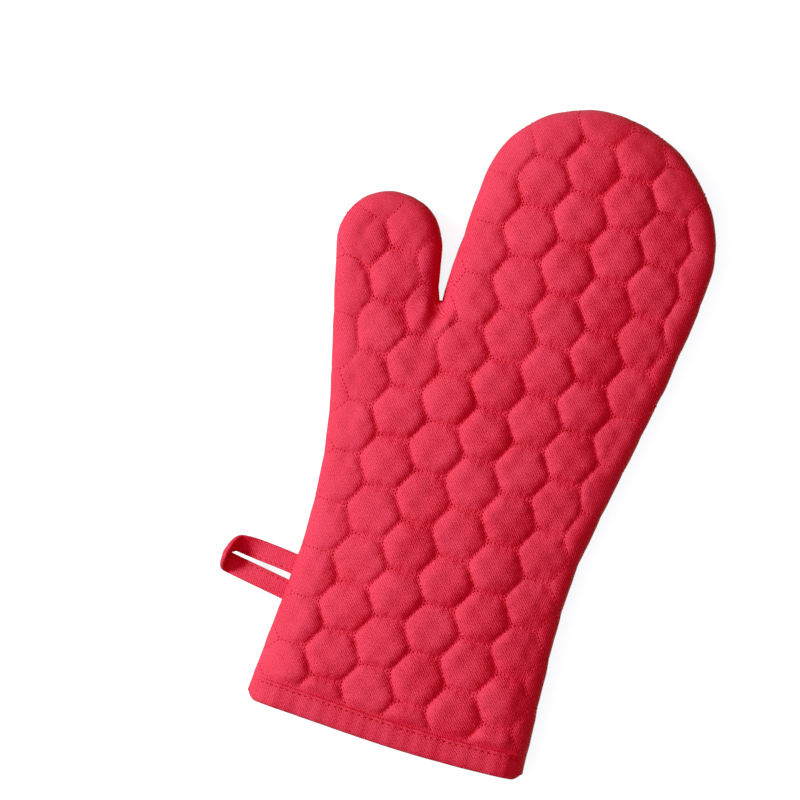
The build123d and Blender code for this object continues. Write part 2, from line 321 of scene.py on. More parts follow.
def puff_height(places, side):
    """Dome 1 - (1 - share)^power, share 0 at the lines and 1 in the middle, with puckers and wrinkles."""
    gap, round_gap, facing, cell, away = quilt(places, side)
    cell = np.round(cell)
    along = 2 * math.pi * np.einsum("ij,ij->i", away, LINE_ALONG[facing])
    share = np.clip(round_gap / (QUILT_PITCH / 2), 0, 1)
    dome = (1 - (1 - share) ** DOME_POWER) * (LEAST_FULL + FULL_SPREAD * scatter(cell, 1.0))
    lean = away @ LEAN_WAY / QUILT_PITCH * (scatter(cell, 2.0) - 0.5)
    pucker = PUCKER * np.cos(along / QUILT_STITCH.pitch) * bell(gap, PUCKER_GAP, PUCKER_WIDTH)
    phase = WRINKLE_PHASE * scatter(cell + facing[:, None], 3.0)
    wrinkle = WRINKLE * np.sin(along / WRINKLE_PITCH + phase) * bell(gap, WRINKLE_GAP, WRINKLE_WIDTH)
    return PUFF * dome * (1 + LEAN_WEIGHT * lean) + pucker + wrinkle


# %% [markdown]
# Padded cloth isn't even: slow waves run over it, and a tight corner such as the crotch pulls folds
# into it. The filling also makes the whole panel fuller in the middle than at its sides. The relief
# adds these to the puffs as one height above the form. On the back the table presses them flatter.

# %% The relief of the cloth
PRESSED, LINING_DEPTH, SEAM_TUCK, TUCK_RUN, SIDE_FLATTER, SIDE_CALMER = 2.0, 5.5, 1.1, 3.2, 0.85, 0.8
CROWN, CROWN_RISE = {PALM: (2.0, 34.0), BACK: (0.8, 20.0)}, 60.0
BINDING_WIDTH, RAW_EDGE, HEM_START, HEM_END = 12.5, 1.2, -0.5, 5.0
HEM_Y, RAW_EDGE_Y = CUFF_Y + BINDING_WIDTH, CUFF_Y + RAW_EDGE
TABLE_CALM, TABLE_PRESS, TABLE_FOLDS = 0.9, 0.3, 0.6
CROTCH_POINT, CROTCH_SEAM = np.array((-30.2, 62.5)), (6.0, 30.0)
LIP_SHARE, LIP_REACH, FOLD_FADE = 0.3, 2.0, 3.0
# degrees, depth, length and width of each fold
FOLDS = ((-96, 4.4, 14.0, 2.4), (-30, 1.1, 12.0, 3.0), (-160, 1.1, 12.0, 3.0))
# waves in a millimetre, angle, phase and height of each wave
WAVES = ((0.021, 0.4, 1.0, 0.40), (0.034, 2.1, 2.3, 0.30), (0.047, 1.3, 4.0, 0.22), (0.09, 2.7, 0.6, 0.12),
         (0.11, 0.9, 3.1, 0.10), (0.17, 1.9, 5.2, 0.05))


def slow_waves(cloth):
    """Sum of a few long sine waves in different directions: the unevenness of a padded surface."""
    total = np.zeros(len(cloth))
    for rate, angle, phase, height in WAVES:
        total += height * np.sin(2 * math.pi * rate * (cloth @ ray(angle)) + phase)
    return total


def crotch_folds(places):
    """Valleys that leave the crotch along a few rays, each with a soft lip on both sides, fading out."""
    away = places - CROTCH_POINT
    total = np.zeros(len(places))
    for degrees, depth, length, width in FOLDS:
        way = ray(math.radians(degrees))
        out, beside = away @ way, np.abs(away @ right_of(way))
        past = np.maximum(out, 0)
        fade = smooth_step(-FOLD_FADE, FOLD_FADE, out) * np.exp(-past / length)
        spread = beside / (width * (1 + past / (2 * length)))
        total -= depth * fade * (bell(spread, 0, 1) - LIP_SHARE * bell(spread, LIP_REACH, 1))
    return total


def relief(cloth, points, run, side):
    """Heights of face and lining above the form: crown, waves and folds for both, puffs for the face."""
    places = points[:, :2]
    bend_length = ROUNDING[side] * math.pi / 2
    past = np.clip(run / bend_length, 0, 1)
    puffs = puff_height(places, side) * (1 - SIDE_FLATTER * smooth_step(-0.35, 0.75, run / bend_length))
    drop, width = CROWN[side]
    crown = -drop * smooth_step(HEM_Y, HEM_Y + CROWN_RISE, cloth[:, 1]) * (1 - smooth_step(0, width, -run))
    if side == PALM:
        crown = crown - swell_drop(places)
    waves = slow_waves(cloth) * (1 - SIDE_CALMER * past)
    folds = crotch_folds(places) * (1 - smooth_step(0.35, 0.9, past))
    if side == BACK:
        rests = 1 - smooth_step(0.0, 0.5, past)
        waves, puffs = waves * (1 - TABLE_CALM * rests), puffs - TABLE_PRESS * rests
        folds = TABLE_FOLDS * folds
    hem = smooth_step(HEM_Y + HEM_START, HEM_Y + HEM_END, cloth[:, 1])
    common = crown * (1 - smooth_step(0.0, 0.9, past)) + hem * (waves + folds)
    face = common + hem * puffs - PRESSED * (1 - smooth_step(0.2, 1.0, past))
    open_seam = smooth_step(*CROTCH_SEAM, np.linalg.norm(places - CROTCH_POINT, axis=1))
    tuck = smooth_step(-TUCK_RUN, 0.0, run - bend_length - SEAM_RUN[side])
    return face - SEAM_TUCK * open_seam * tuck, common - LINING_DEPTH


# %% [markdown]
# A panel's skin is a fine square grid over its flat part. Where the grid stops, like a flight of steps
# along the outline, each edge point sends a column of points down the bend to the seam. No column
# crosses another, because all of them run straight towards the nearest outline point.

# %% One skin of a panel
GRID, COLUMN_ROWS, SEAM_GAP, TINY = {PALM: 0.8, BACK: 1.0}, 26, 0.12, 1e-12
GRID_LEFT, GRID_RIGHT, GRID_LENGTH = -105.0, 100.0, 330.0


def grid_places(across, upward):
    """All places of a grid, row by row."""
    return np.stack(np.meshgrid(across, upward), axis=-1).reshape(-1, 2)


def open_rim(cells, corner):
    """Pairs of grid points along the outer sides of the kept cells, except along the cuff."""
    framed = np.pad(cells, 1)
    beside = (framed[:-2, 1:-1], framed[1:-1, 2:], framed[2:, 1:-1], framed[1:-1, :-2])
    rims = []
    for which, other in enumerate(beside):
        open_side = cells & ~other
        if which == 0:
            open_side[0] = False
        rims.append(np.stack((corner[which][open_side], corner[(which + 1) % 4][open_side]), axis=1))
    return np.concatenate(rims)


def panel_skin(side):
    """Points of the flat grid and of the columns over the side: cloth places, form, normals and faces."""
    step, radius = GRID[side], ROUNDING[side]
    across, upward = np.arange(GRID_LEFT, GRID_RIGHT, step), RAW_EDGE_Y + np.arange(0, GRID_LENGTH, step)
    edge, outward, inside = nearest_edge(grid_places(across, upward))
    number = np.arange(len(inside)).reshape(len(upward), len(across))
    corner = [number[:-1, :-1], number[:-1, 1:], number[1:, 1:], number[1:, :-1]]
    cells = np.all([inside[part] >= radius for part in corner], axis=0)
    quads = np.stack([part[cells] for part in corner], axis=1)
    rim = open_rim(cells, corner)
    used, renumbered = np.unique(quads, return_inverse=True)
    quads = renumbered.reshape(quads.shape)
    rim_points, rim_columns = np.unique(rim, return_inverse=True)
    first, second = rim_columns.reshape(rim.shape).T
    start = radius - inside[rim_points]
    finish = radius * math.pi / 2 + SEAM_RUN[side] - SEAM_GAP
    share = (np.arange(1, COLUMN_ROWS + 1) / COLUMN_ROWS)[:, None]
    column_run = start + (finish - start) * share
    rows = np.vstack((np.searchsorted(used, rim_points),
                      len(used) + np.arange(column_run.size).reshape(column_run.shape)))
    strips = np.stack((rows[:-1, second], rows[:-1, first], rows[1:, first], rows[1:, second]), axis=-1)
    chosen = np.concatenate((used, np.tile(rim_points, COLUMN_ROWS)))
    run = np.concatenate((radius - inside[used], column_run.ravel()))
    cloth = edge[chosen] + outward[chosen] * (run - radius)[:, None]
    points, normals = wrapped(edge[chosen], outward[chosen], run, side)
    faces = np.concatenate((quads, strips.reshape(-1, 4)))
    return cloth, points, normals, run, faces if side == PALM else faces[:, ::-1]


def corner_normals(points, faces):
    """Normal of each point: the sum of its faces' area vectors, made one long."""
    first, second, third, fourth = (points[faces[:, column]] for column in range(4))
    diagonals = np.cross(third - first, fourth - second)
    total = np.zeros_like(points)
    for column in range(4):
        for axis in range(3):
            total[:, axis] += np.bincount(faces[:, column], diagonals[:, axis], len(points))
    return unit(total + TINY)


# %% [markdown]
# Each panel is a padded sandwich: face cloth outside, lining inside, batting between. So a panel is
# two skins with the same faces, one turned over, and a wall along every open edge. It is divided at
# the fold of the thumb into the hand's part and the thumb's part. Both parts get the
# undivided skin's normals, so the division doesn't show as a line.

# %% Parts of a panel
PANELS = ((PALM, "palm"), (BACK, "back"))
PREFIX = {"hand": "", "thumb": "thumb_"}
FOLD_START, FOLD_END, THUMB_FOOT = np.array((-30.5, 61.0)), np.array((-70.5, 10.0)), 9.0
FOLD_ACROSS = right_of(unit(FOLD_END - FOLD_START))
BEND_START, BEND_END = 1.5, 34.0


def thumb_and_hand(places):
    """The two bodies, each with a choice of places: the thumb's lie past the fold, left of the crotch."""
    past = (places - FOLD_START) @ FOLD_ACROSS > 0
    thumb = past & (places[:, 0] < FOLD_START[0]) & (places[:, 1] > FOLD_END[1] - THUMB_FOOT)
    return {"hand": ~thumb, "thumb": thumb}


def declare(piece, body, slot, *nodes):
    """Hide the nodes that a piece stands for and attach it to its body's empty; a thumb's piece is only
    baked in place. The slot is not used.
    """
    if nodes:
        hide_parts(*nodes)
    if body != "thumb":
        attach(piece, body)
        return
    fold = (FOLD_START + FOLD_END) / 2
    start, end = (np.append(fold + FOLD_ACROSS * reach, PALM_TOP) * MM for reach in (BEND_START, BEND_END))
    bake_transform(piece)


def padded_piece(name, skins, normals, cloth, faces):
    """Closed pad from two skins that share faces: the inner one turned over, walls at the open edges."""
    used, faces = np.unique(faces, return_inverse=True)
    faces = faces.reshape(-1, 4)
    count = len(used)
    edges = np.concatenate([faces[:, (k, (k + 1) % 4)] for k in range(4)])
    code, reverse = edges @ (count, 1), edges[:, ::-1] @ (count, 1)
    open_edges = edges[~np.isin(code, reverse)]
    walls = np.column_stack((open_edges[:, ::-1], open_edges + count))
    points = np.concatenate([skin[used] for skin in skins])
    piece = new_piece(name, points, [faces, faces[:, ::-1] + count, walls])
    set_cloth_map(piece, np.concatenate((cloth[used], cloth[used])))
    normals = np.concatenate([part[used] for part in normals])
    piece.data.normals_split_custom_set_from_vertices(normals.astype(np.float32))
    lining = np.zeros(len(piece.data.polygons), np.int32)
    lining[len(faces):] = 1
    piece.data.polygons.foreach_set("material_index", lining)
    return piece


# %% [markdown]
# A mitt that has been put down isn't quite straight, so `settle` moves the points of the panels and the
# binding a little. The weave follows the flat cloth everywhere but in the crotch, where flat cloth would
# have to be cut, and plain x and y do better.

# %% The panels
BOW_LEFT, BOW_MIDDLE, BOW_RIGHT, CORNER_LIFT = 3.5, 4.6, 0.8, 2.4
LOW_FULL, HIGH_FULL, DRAWN_RIGHT, DRAWN_UP, DRAWN_WIDTH = 1.7, 1.4, 1.4, 2.6, 14.0
PLAIN_WEAVE, PAD_FILL = (16.0, 36.0), 0.5


def settle(points):
    """How the mitt lies: the cuff bows, the right side is fuller, and the crotch is drawn up a little."""
    x, y = points[..., 0], points[..., 1]
    fade = 1 - smooth_step(CUFF_Y + 5, CUFF_Y + 70, y)
    bow = BOW_LEFT - BOW_MIDDLE * smooth_step(-85, 25, x) + BOW_RIGHT * smooth_step(35, 75, x)
    corner = CORNER_LIFT * smooth_step(63, 71, np.abs(x)) ** 2 * (1 - smooth_step(CUFF_Y, CUFF_Y + 9, y))
    low = LOW_FULL * smooth_step(25, 70, x) * (1 - smooth_step(-95, -35, y))
    high = HIGH_FULL * smooth_step(45, 90, x) * smooth_step(60, 95, y) * (1 - smooth_step(120, 165, y))
    drawn = bell(np.hypot(x - CROTCH[0], y - CROTCH[1]), 0, DRAWN_WIDTH)
    settled = points.copy()
    settled[..., 0] += low + high + DRAWN_RIGHT * drawn
    settled[..., 1] += bow * fade + corner + DRAWN_UP * drawn
    return settled


pads = []
for side, panel in PANELS:
    cloth, form, form_normals, run, faces = panel_skin(side)
    from_crotch = np.linalg.norm(form[:, :2] - CROTCH, axis=1)
    weave = cloth + (form[:, :2] - cloth) * (1 - smooth_step(*PLAIN_WEAVE, from_crotch))[:, None]
    heights = relief(cloth, form, run, side)
    outer, inner = (settle(form + form_normals * height[:, None]) for height in heights)
    outer[:, 2] = np.maximum(outer[:, 2], 0.0)
    normals = corner_normals(outer, faces), -corner_normals(inner, faces)
    for body, chosen in thumb_and_hand(form[faces].mean(axis=1)[:, :2]).items():
        name = PREFIX[body] + panel
        pad = padded_piece(f"{name}_pad", (outer, inner), normals, weave, faces[chosen])
        declare(pad, body, "face_cloth", *(f"{name}_{layer}" for layer in ("face", "batting", "lining")))
        pads.append(pad)

# %% [markdown]
# The floor, the light and the camera come next, so that every later piece can be looked at. The mitt
# is seen from straight above, turned a little clockwise. A low lamp on the left gives each puff a
# bright side and a dark side. A wide lamp overhead and a pale world all round open the shadows, and
# the rounded edges stay darker than the top. The floor shines a little by itself, like a light table,
# but doesn't light the mitt's sides from below.

# %% Floor, light and camera
VIEW_CENTER, VIEW_WIDTH, VIEW_TURN, LENS, SENSOR = (-0.0358, 0.0124), 0.394, math.radians(15.6), 135.0, 36.0
FLOOR_HALF = 4.0
scene = bpy.context.scene
floor_corners = np.array(((-1, -1, 0), (1, -1, 0), (1, 1, 0), (-1, 1, 0))) * FLOOR_HALF / MM
floor = new_piece("floor", floor_corners, [[[0, 1, 2, 3]]])
floor.visible_diffuse = False


def set_values(node, values):
    """Set sockets of a shader node by their names."""
    for name, value in values.items():
        node.inputs[name].default_value = value


def lamp(name, place, size, power, color):
    """Square area lamp at a place, turned to face the mitt."""
    light = bpy.data.lights.new(name, "AREA")
    light.size, light.energy, light.color = size, power, color
    holder = bpy.data.objects.new(name, light)
    holder.location = place
    aim = -np.array(place)
    holder.rotation_euler = (math.atan2(math.hypot(aim[0], aim[1]), -aim[2]), 0, heading(aim) - math.pi / 2)
    scene.collection.objects.link(holder)


lamp("key_lamp", place=(-2.3, 0.25, 1.5), size=0.8, power=81.0, color=(1.0, 0.97, 0.96))
lamp("top_lamp", place=(-0.6, -0.5, 2.4), size=1.6, power=15.4, color=(1.0, 1.0, 1.0))
scene.world = bpy.data.worlds.new("studio")
scene.world.use_nodes = True
set_values(scene.world.node_tree.nodes["Background"], {"Color": (0.95, 0.97, 1.0, 1.0), "Strength": 0.34})
camera = bpy.data.objects.new("camera", bpy.data.cameras.new("camera"))
camera.data.lens, camera.data.sensor_width = LENS, SENSOR
camera.location = (*VIEW_CENTER, VIEW_WIDTH * LENS / SENSOR + PALM_TOP / 2 * MM)
camera.rotation_euler = (0, 0, VIEW_TURN)
scene.collection.objects.link(camera)
scene.camera = camera
print("camera", [round(value, 3) for value in camera.location])

# %% [markdown]
# A camera doesn't keep light as it is: it adds contrast where a strong colour leaves little of the
# other two. On red cloth that makes the lit sides pinker and the shaded sides a purer red. So green
# and blue get a small S-shaped bend near the bottom of their tone curves, and white stays white.

# %% Camera tone
GREEN, BLUE = 1, 2
TONE_BENDS = {GREEN: ((0.0150, 0.0022), (0.0215, 0.0080), (0.0303, 0.0292), (0.055, 0.077)),
              BLUE: ((0.034, 0.0105), (0.047, 0.027), (0.065, 0.064), (0.10, 0.130))}
scene.view_settings.view_transform = "Standard"
scene.view_settings.use_curve_mapping = True
tone = scene.view_settings.curve_mapping
for channel, bends in TONE_BENDS.items():
    for light, shown in bends:
        tone.curves[channel].points.new(light, shown)
tone.update()
print("tone curves bent:", len(TONE_BENDS))

# %% [markdown]
# A material is a graph of nodes. Writing it node by node hides the idea, so a small class lets us
# write sums and products of sockets as ordinary expressions, and one method makes any other node.

# %% Shader expressions
# places of the sockets that a Mix node uses for colours
MIX_SHARE, MIX_FIRST, MIX_SECOND, MIX_RESULT = 0, 6, 7, 2


class Wire:
    """One output of a shader node, on which + - * add Math nodes."""

    def __init__(self, tree, socket):
        self.tree, self.socket = tree, socket

    @classmethod
    def node(cls, tree, kind, settings=None, inputs=None, output=0):
        """Make any node: its settings first, then the values or links of its sockets."""
        made = tree.nodes.new("ShaderNode" + kind)
        for name, value in (settings or {}).items():
            setattr(made, name, value)
        for name, value in (inputs or {}).items():
            if isinstance(value, Wire):
                tree.links.new(value.socket, made.inputs[name])
            else:
                made.inputs[name].default_value = value
        return cls(tree, made.outputs[output])

    def math(self, operation, *others):
        """Math node of an operation on this wire and others."""
        return self.node(self.tree, "Math", {"operation": operation}, dict(enumerate((self, *others))))

    def noise(self, scale, detail):
        """Noise over the coordinates that this wire carries."""
        return self.node(self.tree, "TexNoise", inputs={"Vector": self, "Scale": scale, "Detail": detail})

    def __add__(self, other):
        return self.math("ADD", other)

    def __sub__(self, other):
        return self.math("SUBTRACT", other)

    def __mul__(self, other):
        return self.math("MULTIPLY", other)


def finish_of(name, roughness, sheen=0.0, sheen_tint=(1, 1, 1, 1)):
    """New material with a Principled shader whose even values are set on its own sockets."""
    material = bpy.data.materials.new(name)
    material.use_nodes = True
    shader = material.node_tree.nodes["Principled BSDF"]
    set_values(shader, {"Roughness": roughness, "Specular IOR Level": 0.12, "Sheen Weight": sheen,
                        "Sheen Roughness": 0.45, "Sheen Tint": sheen_tint})
    return material, shader


def color_and_bump(shader, share, dark, light, lift, strength, depth):
    """Give a shader a colour between dark and light by a share, and a bump that follows a lift."""
    tree = share.tree
    shades = {MIX_SHARE: share, MIX_FIRST: dark, MIX_SECOND: light}
    color = Wire.node(tree, "Mix", {"data_type": "RGBA"}, shades, MIX_RESULT)
    bump = Wire.node(tree, "Bump", inputs={"Strength": strength, "Distance": depth, "Height": lift})
    tree.links.new(color.socket, shader.inputs["Base Color"])
    tree.links.new(bump.socket, shader.inputs["Normal"])


# %% [markdown]
# Cotton twill shows fine slanting rib lines. They are a wave across the cloth map, so they follow the cloth
# round the sides. The same wave paints shade into the hollows between the rib lines and a highlight on
# their crests, and lifts the crests as a bump. Fine noise stands for single fibres.

# %% Red twill
TWILL_PITCH, TWILL_ANGLE, TWILL_BUMP, TWILL_DEPTH = 0.0010, math.radians(-41), 0.35, 0.0003
# the first weight is how much painted shade and highlight the rib wave puts into the colour
RIB_SHADE_SHARE, BLOTCH_SHARE, FIBRE_SHARE, SHARE_DROP = 0.36, 0.34, 1.15, 0.42
RIB_WANDER, FIBRE_LIFT = 4.0, 0.6


def twill(name, dark, light):
    """Twill: rib lines every TWILL_PITCH across the slant, uneven with noise, in two close colours: painted
    shade in the hollows, painted highlight on the crests.
    """
    material, shader = finish_of(name, roughness=0.75)
    tree = material.node_tree
    cloth = Wire.node(tree, "TexCoord", output="UV")
    slant = Wire.node(tree, "Mapping", inputs={"Vector": cloth, "Rotation": (0, 0, TWILL_ANGLE)})
    across = Wire.node(tree, "SeparateXYZ", inputs={"Vector": slant})
    wander, blotch, fibre = cloth.noise(260.0, 3.0), cloth.noise(45.0, 4.0), cloth.noise(1500.0, 2.0)
    # the rib wave is both the bump and painted shade: darker in the hollows, lighter on the crests
    rib_shade_and_lift = (across * (2 * math.pi / TWILL_PITCH) + wander * RIB_WANDER).math("SINE") * 0.5 + 0.5
    # the colour mixes the painted rib shade with blotches and fibres of the cloth's own tone
    share = rib_shade_and_lift * RIB_SHADE_SHARE + blotch * BLOTCH_SHARE + fibre * FIBRE_SHARE - SHARE_DROP
    color_and_bump(shader, share, dark, light, rib_shade_and_lift + fibre * FIBRE_LIFT, TWILL_BUMP, TWILL_DEPTH)
    return material


face_twill = twill("face_twill", dark=(0.42, 0.0005, 0.008, 1), light=(0.82, 0.050, 0.110, 1))
lining_twill = twill("lining_twill", dark=(0.40, 0.0005, 0.008, 1), light=(0.72, 0.04, 0.09, 1))
for pad in pads:
    pad.data.materials.append(face_twill)
    pad.data.materials.append(lining_twill)

floor_finish, floor_shader = finish_of("floor_paper", roughness=0.9)
set_values(floor_shader, {"Base Color": (0.45, 0.45, 0.45, 1), "Emission Color": (0.96, 0.98, 1.0, 1),
                          "Emission Strength": 0.82})
floor.data.materials.append(floor_finish)
print("cloth finishes:", face_twill.name, lining_twill.name)

# %% [markdown]
# Sewing thread in the cloth's own red has a slight gloss. Its twist is too fine to show, so noise gives
# it two close colours and a slight bump.

# %% Thread finish
thread_finish, thread_shader = finish_of("red_thread", 0.55, sheen=0.2, sheen_tint=(1.0, 0.6, 0.65, 1.0))
thread_noise = Wire.node(thread_finish.node_tree, "TexCoord", output="Object").noise(900.0, 2.0)
color_and_bump(thread_shader, thread_noise, dark=(0.42, 0.004, 0.02, 1), light=(0.74, 0.03, 0.07, 1),
               lift=thread_noise, strength=0.3, depth=0.0001)
print("thread finish:", thread_finish.name)

# %% [markdown]
# A stitch that shows is a short length of thread, round in section and pulled into the cloth at both
# ends. There are thousands, so each is a tube of only a few faces. One function takes the middles,
# directions and facings of all stitches in a row and makes them as one mesh.

# %% Stitches
STITCH_RINGS = np.array((-1.0, -0.72, 0.0, 0.72, 1.0))
STITCH_GIRTH = np.array((0.35, 0.85, 1.0, 0.85, 0.35))
STITCH_SINK = np.array((-0.8, -0.15, 0.35, -0.15, -0.8))
STITCH_SIDES = 6
TURNED_OVER = (0, 3, 2, 1)


def ring_quads(number):
    """Quads between neighbouring closed rings of point numbers, each ring along the array's last axis."""
    beside = np.roll(number, -1, axis=-1)
    corners = (number[..., :-1, :], beside[..., :-1, :], beside[..., 1:, :], number[..., 1:, :])
    return np.stack(corners, axis=-1).reshape(-1, 4)


def stitch_piece(name, node, body, middle, along, facing, stitch):
    """Row of stitches for a node: rings round short arches, thick in the middle, sunk at both ends."""
    along = unit(along)
    across = unit(np.cross(along, facing))
    facing = np.cross(across, along)
    turn = np.arange(STITCH_SIDES) * 2 * math.pi / STITCH_SIDES
    ring = across[:, None, None] * np.cos(turn)[:, None] + facing[:, None, None] * np.sin(turn)[:, None]
    core = middle[:, None] + along[:, None] * (STITCH_RINGS * stitch.length / 2)[:, None]
    core = core + facing[:, None] * (STITCH_SINK * stitch.thickness / 2)[:, None]
    points = core[:, :, None] + ring * (STITCH_GIRTH * stitch.thickness / 2)[:, None, None]
    number = np.arange(points[..., 0].size).reshape(points.shape[:3])
    caps = np.concatenate((number[:, 0], number[:, -1, ::-1]))
    piece = new_piece(name, points.reshape(-1, 3), [ring_quads(number)[:, TURNED_OVER], caps])
    piece.data.materials.append(thread_finish)
    declare(piece, body, "thread", node)


# %% [markdown]
# Seven stitches lie along each side of a hexagon, and more where the line goes on down a bend. Each
# line is first carried on to the padded surface as a row of close points. Then the stitches are spread
# evenly along its real length, so that they sit at the bottom of the pressed lines.

# %% Quilting stitches
STITCH_SUNK, LINE_SAMPLES, FEWEST_SAMPLES = 0.05, 49, 4
NET_COLUMNS, NET_ROWS, DRIFT_ROUNDS = 3, 8, 4
# near the crotch the stitches stop farther inside the outline than elsewhere
TIGHT_PLACE, TIGHT_REACH, TIGHT_INSIDE, LEAST_INSIDE = CROTCH_POINT + (0, 25), 45.0, 2.0, 0.02
HEM_CLEAR = 1.0


def length_along(path):
    """Distance travelled along a row of points, at each of them."""
    return np.concatenate(([0], np.cumsum(np.linalg.norm(np.diff(path, axis=0), axis=1))))


def values_at(at, length, rows):
    """Rows of values that belong to the points of a path, asked for at distances along it."""
    return np.column_stack([np.interp(at, length, part) for part in rows.T])


def on_cloth(places, side):
    """Surface point and form normal for places seen from above: asin(1 - inset / radius) is the bend."""
    edge, outward, inside = nearest_edge(places)
    radius = ROUNDING[side]
    bend = radius * np.arcsin(np.clip(1 - inside / radius, 0, 1))
    run = np.where(inside < radius, bend, radius - inside)
    points, normals = wrapped(edge, outward, run, side)
    cloth = edge + outward * (run - radius)[:, None]
    return settle(points + normals * relief(cloth, points, run, side)[0][:, None]), normals


def quilting_lines(side):
    """Close points along all sewn lines, seen from above: every hexagon owns three of its six sides."""
    columns, rows = (np.arange(-count, count + 1) for count in (NET_COLUMNS, NET_ROWS))
    grid = grid_places(columns * 2 * COLUMN, rows * QUILT_PITCH)
    centers = np.concatenate((grid, grid + (COLUMN, QUILT_PITCH / 2))) @ TURN.T + QUILT_CENTER[side]
    middles = (centers[:, None] + LINE_FACING * QUILT_PITCH / 2).reshape(-1, 2)
    along = np.tile(LINE_ALONG, (len(centers), 1))
    steps = np.linspace(-0.5, 0.5, LINE_SAMPLES) * QUILT_PITCH / math.sqrt(3)
    true_lines = (middles[:, None] + along[:, None] * steps[:, None]).reshape(-1, 2)
    lines = true_lines
    for _ in range(DRIFT_ROUNDS):
        lines = true_lines + drift(lines, side)
    return lines.reshape(len(middles), LINE_SAMPLES, 2)


def spread_stitches(lines, side):
    """Middles, ways and facings of stitches a pitch apart along the real length of each line shown."""
    inside = nearest_edge(lines.reshape(-1, 2))[2].reshape(lines.shape[:2])
    tight = np.linalg.norm(lines - TIGHT_PLACE, axis=2) < TIGHT_REACH
    shown = (inside > np.where(tight, TIGHT_INSIDE, LEAST_INSIDE)) & (lines[..., 1] > HEM_Y + HEM_CLEAR)
    points, normals = (part.reshape(*lines.shape[:2], 3) for part in on_cloth(lines.reshape(-1, 2), side))
    rows = []
    for number, kept in enumerate(np.flatnonzero(part) for part in shown):
        for part in np.split(kept, np.flatnonzero(np.diff(kept) > 1) + 1):
            if len(part) < FEWEST_SAMPLES:
                continue
            line, normal = points[number, part], normals[number, part]
            way = np.gradient(line, axis=0)
            length = length_along(line)
            count = max(1, round(length[-1] / QUILT_STITCH.pitch))
            at = (np.arange(count) + 0.5) * length[-1] / count
            rows.append(values_at(at, length, np.hstack((line, way, normal))).reshape(count, 3, 3))
    return np.concatenate(rows).transpose(1, 0, 2)


for side, panel in PANELS:
    middle, along, facing = spread_stitches(quilting_lines(side), side)
    middle = middle - facing * STITCH_SUNK
    for body, chosen in thumb_and_hand(middle[:, :2]).items():
        name = PREFIX[body] + panel
        stitch_piece(f"{name}_stitches", f"{name}_quilting", body, middle[chosen], along[chosen],
                     facing[chosen], QUILT_STITCH)

# %% [markdown]
# The mouth is bound with a strip of the same cloth, folded over the raw edge. Its section is a U, and
# the U is carried once round the mouth. The path is a flat rounded loop: every point has a place and
# a direction outwards, and an inset moves it the other way.

# %% Cuff binding
RING_COUNT, CORNER_STEPS, LEFT_SLOPE, RIGHT_SLOPE = 480, 31, 0.088, -0.044
# height, number and phase of the ripples along the binding
RIPPLES = ((0.10, 43, 0.0), (0.12, 17, 1.0))
# inset and distance from the mouth, from the folded edge outside round to the one inside and back
BINDING_PROFILE = np.array((
    (2.1, 12.55), (1.5, 12.62), (1.05, 12.45), (0.82, 12.0), (0.80, 11.4), (1.12, 10.9), (1.16, 10.6),
    (0.82, 10.1), (0.62, 8.6), (0.58, 6.0), (0.66, 3.8), (0.95, 2.0), (1.7, 0.7), (2.9, 0.08), (4.1, 0.05),
    (5.4, 0.6), (6.3, 1.7), (6.7, 3.6), (6.7, 7.0), (6.7, 11.0), (6.45, 12.2), (5.9, 12.5), (5.72, 11.8),
    (5.70, 7.0), (5.66, 1.05), (1.86, 1.05), (1.85, 7.0), (1.86, 11.6)))
RIPPLED_POINTS = 14


def mouth_ring(count):
    """Path round the mouth at the cuff: four quarter rounds joined by straight runs, evenly sampled."""
    corners = ((1, PALM, 0.0), (-1, PALM, 90.0), (-1, BACK, 180.0), (1, BACK, 270.0))
    places, facings = [], []
    for hand_side, side, first in corners:
        radius = ROUNDING[side]
        facing = ray(np.radians(first + np.linspace(0, 90, CORNER_STEPS)))
        center = (hand_side * (CUFF_HALF_WIDTH - radius), FLAT_HEIGHT[side] - side * radius)
        places.append(center + radius * facing)
        facings.append(facing)
    places, facings = (np.concatenate((*rows, rows[0][:1])) for rows in (places, facings))
    length = length_along(places)
    at = np.arange(count) * length[-1] / count
    return values_at(at, length, places), unit(values_at(at, length, facings)), length[-1]


def on_binding(place, facing, inset, y):
    """Point of the mouth at an inset and a distance y along the mitt: the sides draw in above the cuff."""
    slope = np.where(place[:, :1] < 0, LEFT_SLOPE, RIGHT_SLOPE) * np.abs(place[:, :1]) / CUFF_HALF_WIDTH
    past = np.arccos(np.clip(facing[:, 1], 0, 1)) / (math.pi / 2)
    at_cuff = np.column_stack((place[:, 0], np.full(len(place), CUFF_Y)))
    drop = swell_drop(at_cuff) * (1 - smooth_step(0, 0.9, past))
    flat = place[:, None] - facing[:, None] * (inset + drop[:, None])[..., None]
    x = flat[..., 0] + slope * (y - CUFF_Y)
    return np.stack((x, np.broadcast_to(y, x.shape), flat[..., 1]), axis=-1)


def upright(facing):
    """Directions in the plane of the mouth as directions in space."""
    return np.stack((facing[:, 0], np.zeros(len(facing)), facing[:, 1]), axis=1)


def finish_strip(piece, finish, along, across):
    """Give a strip its finish, and a cloth map from distances along and across it."""
    cloth = np.stack(np.broadcast_arrays(along[:, None], across), axis=-1)
    set_cloth_map(piece, cloth.reshape(-1, 2))
    piece.data.materials.append(finish)


